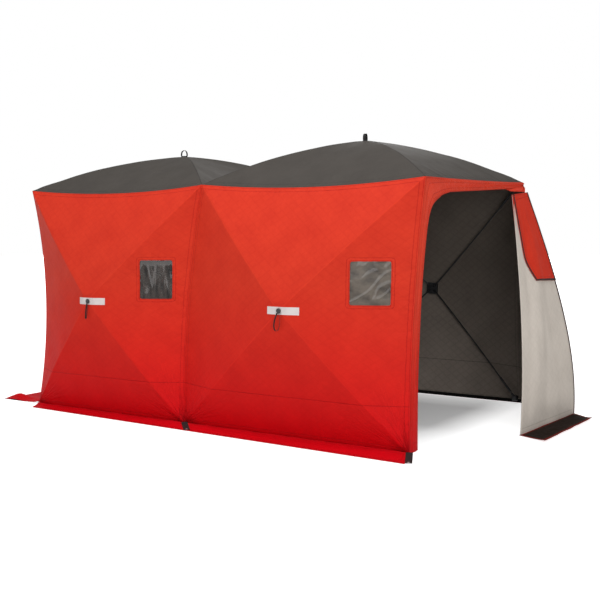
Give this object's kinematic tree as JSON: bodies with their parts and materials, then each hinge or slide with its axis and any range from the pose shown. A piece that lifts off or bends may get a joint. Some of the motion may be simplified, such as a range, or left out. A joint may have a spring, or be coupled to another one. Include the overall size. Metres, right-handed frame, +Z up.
{
  "type": "pop-up ice fishing hut",
  "caption": "Two-room pop-up hut: quilted cloth walls and roof pushed out by hubs and bowed rods, film windows and a folded-back cloth door.",
  "frame": {"origin": "centre of the footprint, on the ice", "axes": "+X along the hut towards the door end, -Y out of the front wall, +Z up"},
  "size_m": [4.54, 2.522, 2.142],
  "materials": {
    "webbing": "woven webbing",
    "wall_cloth": "coated woven cloth",
    "moulding": "moulded nylon, matt",
    "rod": "pultruded rod, satin",
    "film": "clear flexible film",
    "lining_cloth": "pale coated cloth",
    "patch": "reflective cloth",
    "roof_cloth": "coated woven cloth"
  },
  "bodies": {
    "hut": {"anchor_tabs": "webbing", "back_skirt": "wall_cloth", "back_wall_left": "wall_cloth", "back_wall_left_hub": "moulding", "back_wall_left_rods": "rod", "back_wall_right": "wall_cloth", "back_wall_right_hub": "moulding", "back_wall_right_rods": "rod", "back_window_left": "film", "back_window_right": "film", "base_brackets": "moulding", "door_frame": "wall_cloth", "door_seam_strip": "wall_cloth", "end_skirt": "wall_cloth", "end_wall": "wall_cloth", "end_wall_hub": "moulding", "end_wall_rods": "rod", "front_skirt": "wall_cloth", "front_wall_left": "wall_cloth", "front_wall_left_hub": "moulding", "front_wall_left_rods": "rod", "front_wall_right": "wall_cloth", "front_wall_right_hub": "moulding", "front_wall_right_rods": "rod", "front_window_left": "film", "front_window_right": "film", "hub_strips": "patch", "pull_straps": "webbing", "roof_left": "roof_cloth", "roof_left_hub": "moulding", "roof_left_rods": "rod", "roof_loops": "roof_cloth", "roof_right": "roof_cloth", "roof_right_hub": "moulding", "roof_right_rods": "rod", "top_brackets": "moulding"},
    "door": {"door_flap": "wall_cloth", "door_panel": "lining_cloth", "door_skirt": "wall_cloth", "door_zips": "webbing"}
  },
  "joints": [
    {"name": "door_swing", "type": "hinge", "parent": "hut", "child": "door", "pos_m": [1.675, 0.812, 0.85], "axis": [0, 0, 1], "range_deg": [-18, 45]}
  ]
}
